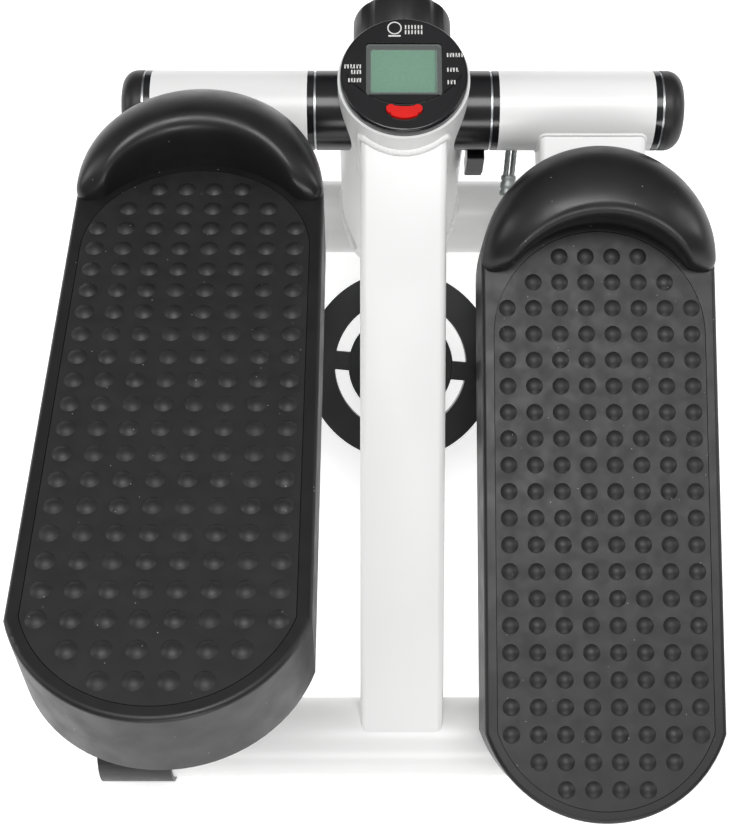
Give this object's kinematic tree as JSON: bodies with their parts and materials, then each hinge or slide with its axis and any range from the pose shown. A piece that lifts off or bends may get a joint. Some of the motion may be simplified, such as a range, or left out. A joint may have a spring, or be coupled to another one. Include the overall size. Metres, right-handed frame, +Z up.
{
  "type": "mini stepper",
  "caption": "Foot-driven gym stepper: pedals on one axle tied by a rope round a pulley, slowed by hydraulic dampers, on a welded tube frame with a small display and a front knob.",
  "frame": {"origin": "on the floor under the middle of the whole machine", "axes": "+Z up, +Y towards the post and its knob (front), +X to the user's right when standing on the pedals and facing the post"},
  "size_m": [0.32, 0.4127, 0.2881],
  "materials": {
    "white_paint": "powder coat",
    "zinc_steel": "zinc plated",
    "moulded_black": "moulded polypropylene",
    "toe_plastic": "satin moulded polypropylene",
    "console_plastic": "gloss moulded ABS",
    "tread_rubber": "moulded rubber",
    "clear_window": "clear acrylic",
    "display_green": "liquid crystal display",
    "red_button": "gloss moulded",
    "board_green": "solder resist",
    "bronze": "sintered bronze",
    "wire_rope": "galvanised wire rope",
    "black_paint": "gloss black paint",
    "chrome_rod": "ground and chromed"
  },
  "bodies": {
    "frame": {"front_crossbar": "white_paint", "rear_crossbar": "white_paint", "main_beam": "white_paint", "front_post": "white_paint", "axle_tube": "black_paint", "axle_shaft": "zinc_steel", "axle_nuts": "zinc_steel", "front_left_foot": "moulded_black", "front_right_foot": "moulded_black", "rear_left_foot": "moulded_black", "rear_right_foot": "moulded_black", "console_housing": "console_plastic", "display_window": "clear_window", "display_panel": "display_green", "circuit_board": "board_green", "battery": "zinc_steel", "adjuster_boss": "white_paint", "pulley_spacer": "zinc_steel", "pulley_bolt": "zinc_steel", "cable": "wire_rope", "sensor_block": "console_plastic", "damper_brackets": "black_paint", "damper_lower_bolts": "zinc_steel", "left_washers": "zinc_steel", "left_end_cap": "moulded_black", "right_washers": "zinc_steel", "right_end_cap": "moulded_black"},
    "left_arm_body": {"left_sleeve": "white_paint", "left_arm": "white_paint", "left_pedal": "moulded_black", "left_tread_mat": "tread_rubber", "left_toe_cap": "toe_plastic", "left_inner_bush": "console_plastic", "left_outer_bush": "console_plastic", "left_cable_lug": "black_paint", "left_cable_end": "wire_rope", "left_pedal_bolts": "zinc_steel", "left_damper_upper_bolt": "zinc_steel"},
    "right_arm_body": {"right_sleeve": "white_paint", "right_arm": "white_paint", "right_pedal": "moulded_black", "right_tread_mat": "tread_rubber", "right_toe_cap": "toe_plastic", "right_inner_bush": "console_plastic", "right_outer_bush": "console_plastic", "right_cable_lug": "black_paint", "right_cable_end": "wire_rope", "right_pedal_bolts": "zinc_steel", "right_damper_upper_bolt": "zinc_steel"},
    "left_damper_body": {"left_damper_cylinder": "black_paint"},
    "right_damper_body": {"right_damper_cylinder": "black_paint"},
    "left_rod_body": {"left_damper_rod": "chrome_rod", "left_damper_bush": "tread_rubber"},
    "right_rod_body": {"right_damper_rod": "chrome_rod", "right_damper_bush": "tread_rubber"},
    "pulley_body": {"pulley": "moulded_black", "pulley_bush": "bronze"},
    "button_body": {"reset_button": "red_button"},
    "screw_body": {"adjuster_screw": "zinc_steel"},
    "knob_body": {"adjuster_knob": "moulded_black"}
  },
  "joints": [
    {"name": "left_pedal_swing", "type": "hinge", "parent": "frame", "child": "left_arm_body", "pos_m": [0, 0.15031, 0.1454], "axis": [1, 0, 0], "range_deg": [0, 30.3], "deforming": ["cable"]},
    {"name": "right_pedal_swing", "type": "hinge", "parent": "frame", "child": "right_arm_body", "pos_m": [0, 0.15031, 0.1454], "axis": [1, 0, 0], "range_deg": [-30.3, 0]},
    {"name": "left_damper_swing", "type": "hinge", "parent": "frame", "child": "left_damper_body", "pos_m": [-0.0965, 0.12231, 0.04], "axis": [1, 0, 0], "range_deg": [0, 14.95]},
    {"name": "right_damper_swing", "type": "hinge", "parent": "frame", "child": "right_damper_body", "pos_m": [0.0965, 0.12231, 0.04], "axis": [1, 0, 0], "range_deg": [-14.91, 0]},
    {"name": "left_damper_stroke", "type": "slide", "parent": "left_damper_body", "child": "left_rod_body", "axis": [0, -0.5573, 0.8303], "range_m": [-0.04712, 0]},
    {"name": "right_damper_stroke", "type": "slide", "parent": "right_damper_body", "child": "right_rod_body", "axis": [0, -0.7518, 0.6594], "range_m": [0, 0.04855]},
    {"name": "pulley_turn", "type": "hinge", "parent": "frame", "child": "pulley_body", "pos_m": [0, 0.04122, 0.06285], "axis": [0, -0.3927, 0.9197], "range_deg": [-20.96, 0]},
    {"name": "reset_press", "type": "slide", "parent": "frame", "child": "button_body", "axis": [0, 0, -1], "range_m": [0, 0.0012], "stiffness_N_per_m": 400},
    {"name": "adjuster_travel", "type": "slide", "parent": "frame", "child": "screw_body", "axis": [0, 1, 0], "range_m": [0, 0.00451]},
    {"name": "knob_turn", "type": "hinge", "parent": "screw_body", "child": "knob_body", "pos_m": [0, 0.20031, 0.143], "axis": [0, 1, 0], "range_deg": [0, 1080]}
  ],
  "couplings": [
    {"joint": "right_pedal_swing", "follows": "left_pedal_swing", "ratio": -1},
    {"joint": "left_damper_swing", "follows": "left_pedal_swing", "ratio": 0.49188},
    {"joint": "right_damper_swing", "follows": "left_pedal_swing", "ratio": -0.49056},
    {"joint": "left_damper_stroke", "follows": "left_pedal_swing", "m_per_rad": -0.089004},
    {"joint": "right_damper_stroke", "follows": "left_pedal_swing", "m_per_rad": 0.091707},
    {"joint": "pulley_turn", "follows": "left_pedal_swing", "ratio": -0.69018},
    {"joint": "adjuster_travel", "follows": "knob_turn", "m_per_rad": 0.00023873}
  ]
}
